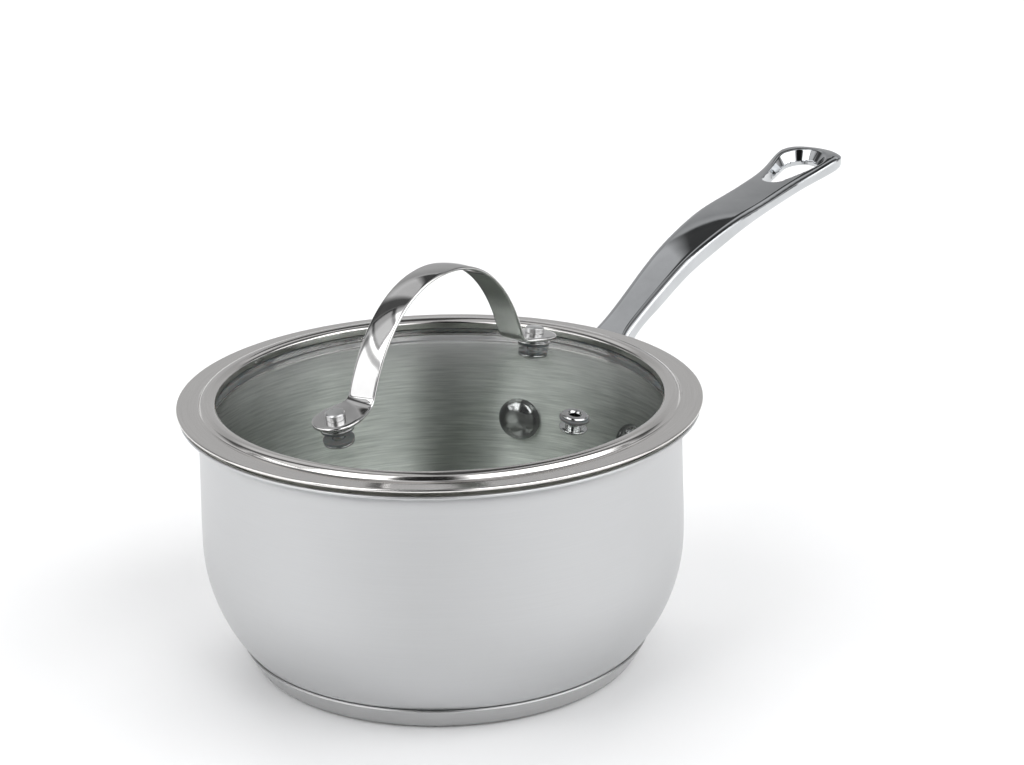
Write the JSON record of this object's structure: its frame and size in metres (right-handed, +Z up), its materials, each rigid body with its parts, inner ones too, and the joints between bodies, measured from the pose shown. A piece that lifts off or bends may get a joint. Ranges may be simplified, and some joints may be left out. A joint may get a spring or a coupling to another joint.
{
  "type": "saucepan with glass lid",
  "caption": "Deep-drawn steel saucepan with a flared rim, capsule base and long cast handle, and a lift-off domed glass lid with a strap handle and steam vent.",
  "frame": {"origin": "centre of the base's flat underside", "axes": "+Z up along the pot's axis, +X along the long handle away from the pot"},
  "size_m": [0.3312, 0.1754, 0.1354],
  "materials": {
    "satin_steel": "satin stainless steel outside, brushed round the axis inside",
    "base_steel": "fine satin stainless steel",
    "aluminium_core": "plain rolled aluminium",
    "handle_steel": "mirror-polished cast stainless steel",
    "ring_steel": "polished rolled stainless steel",
    "strap_steel": "polished stainless steel strip",
    "rivet_steel": "polished stainless steel",
    "silicone": "translucent silicone",
    "lid_glass": "clear tempered glass with a faint green tint"
  },
  "bodies": {
    "pan": {"pan_body": "satin_steel", "base_core": "aluminium_core", "base_cap": "base_steel", "pan_handle": "handle_steel", "handle_rivet_left": "rivet_steel", "handle_rivet_right": "rivet_steel"},
    "lid": {"lid_ring": "ring_steel", "lid_edge_seal": "silicone", "lid_glass": "lid_glass", "lid_handle": "strap_steel", "foot_gasket_upper_front": "silicone", "foot_ferrule_front": "rivet_steel", "foot_gasket_lower_front": "silicone", "foot_washer_front": "rivet_steel", "foot_rivet_front": "rivet_steel", "foot_gasket_upper_back": "silicone", "foot_ferrule_back": "rivet_steel", "foot_gasket_lower_back": "silicone", "foot_washer_back": "rivet_steel", "foot_rivet_back": "rivet_steel", "vent_gasket": "silicone", "vent_eyelet": "rivet_steel", "vent_washer": "rivet_steel"}
  },
  "joints": [
    {"name": "lid_lift", "type": "slide", "parent": "pan", "child": "lid", "axis": [0, 0, 1], "range_m": [0, 0.06]}
  ]
}
